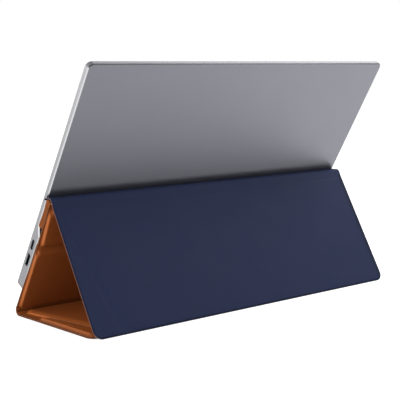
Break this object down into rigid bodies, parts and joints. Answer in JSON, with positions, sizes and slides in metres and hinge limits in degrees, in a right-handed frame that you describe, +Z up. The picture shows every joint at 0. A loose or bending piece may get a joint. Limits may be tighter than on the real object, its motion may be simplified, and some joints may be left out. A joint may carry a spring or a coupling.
{
  "type": "portable monitor with folding cover",
  "caption": "Thin portable monitor held on the sloping wall of a leather cover that folds into a three-sided stand.",
  "frame": {"origin": "on the ground, in the middle of the width, halfway between the front fold line and the rear foot", "axes": "+Z up; +X across the width towards the side with the mini HDMI port; +Y towards the back of the stand, so the screen faces -Y and up"},
  "size_m": [0.3146, 0.1095, 0.1946],
  "materials": {
    "satin_aluminium": "satin anodised, with bright cut chamfers",
    "black_bezel": "matt black",
    "cover_glass": "clear over a dark panel",
    "display": "dark, switched off",
    "panel_sheet": "bare sheet",
    "foam_tape": "matt foam",
    "circuit_board": "green solder mask",
    "chip_plastic": "matt black",
    "shield_steel": "tinned",
    "silicone_pad": "soft matt",
    "screw_steel": "plated",
    "ribbon_white": "matt",
    "ribbon_amber": "matt",
    "port_steel": "plated",
    "switch_plastic": "matt black",
    "keeper_steel": "plain",
    "button_aluminium": "satin anodised",
    "brown_leather": "smooth, lightly grained",
    "navy_leather": "fine grained, semi matt",
    "magnet": "nickel plated",
    "grey_board": "plain stiff board"
  },
  "bodies": {
    "floor_panel": {"front_fold": "navy_leather", "floor_outer_skin": "navy_leather", "floor_board": "grey_board", "floor_corner_board": "grey_board", "floor_lining": "brown_leather", "floor_steel_bars": "keeper_steel"},
    "monitor_wall": {"rear_housing": "satin_aluminium", "front_bezel": "black_bezel", "screen_glass": "cover_glass", "display_panel": "display", "panel_backplate": "panel_sheet", "panel_tape": "foam_tape", "main_board": "circuit_board", "side_board": "circuit_board", "main_chips": "chip_plastic", "shield_can": "shield_steel", "heat_pad": "silicone_pad", "board_screws": "screw_steel", "board_ribbon": "ribbon_white", "panel_ribbon": "ribbon_amber", "usb_c_port_right": "port_steel", "usb_c_port_left": "port_steel", "mini_hdmi_port": "port_steel", "button_switches": "switch_plastic", "steel_keeper": "keeper_steel", "low_pad": "brown_leather", "high_pad": "brown_leather", "pad_magnets": "magnet", "wall_outer_skin": "navy_leather", "wall_low_board": "grey_board", "wall_high_board": "grey_board", "wall_lining": "brown_leather", "top_fold": "navy_leather"},
    "rear_panel": {"rear_outer_skin": "navy_leather", "rear_board": "grey_board", "rear_lining": "brown_leather", "rear_magnets": "magnet"},
    "rear_corner": {"corner_outer_skin": "navy_leather", "corner_board": "grey_board", "corner_lining": "brown_leather"},
    "power_key": {"power_button": "button_aluminium"},
    "menu_key": {"menu_button": "button_aluminium"}
  },
  "joints": [
    {"name": "front_fold_hinge", "type": "hinge", "parent": "floor_panel", "child": "monitor_wall", "pos_m": [0, -0.04901, 0.004], "axis": [1, 0, 0], "range_deg": [0, 85]},
    {"name": "top_fold_hinge", "type": "hinge", "parent": "monitor_wall", "child": "rear_panel", "pos_m": [0, 0.00005, 0.0936], "axis": [1, 0, 0], "range_deg": [0, 105]},
    {"name": "corner_crease_hinge", "type": "hinge", "parent": "rear_panel", "child": "rear_corner", "pos_m": [0.143, 0.02896, 0.04783], "axis": [0.2115, -0.4817, 0.8504], "range_deg": [0, 150]},
    {"name": "power_press", "type": "slide", "parent": "monitor_wall", "child": "power_key", "axis": [1, 0, 0], "range_m": [0, 0.00035], "stiffness_N_per_m": 500},
    {"name": "menu_press", "type": "slide", "parent": "monitor_wall", "child": "menu_key", "axis": [1, 0, 0], "range_m": [0, 0.00035], "stiffness_N_per_m": 500}
  ]
}
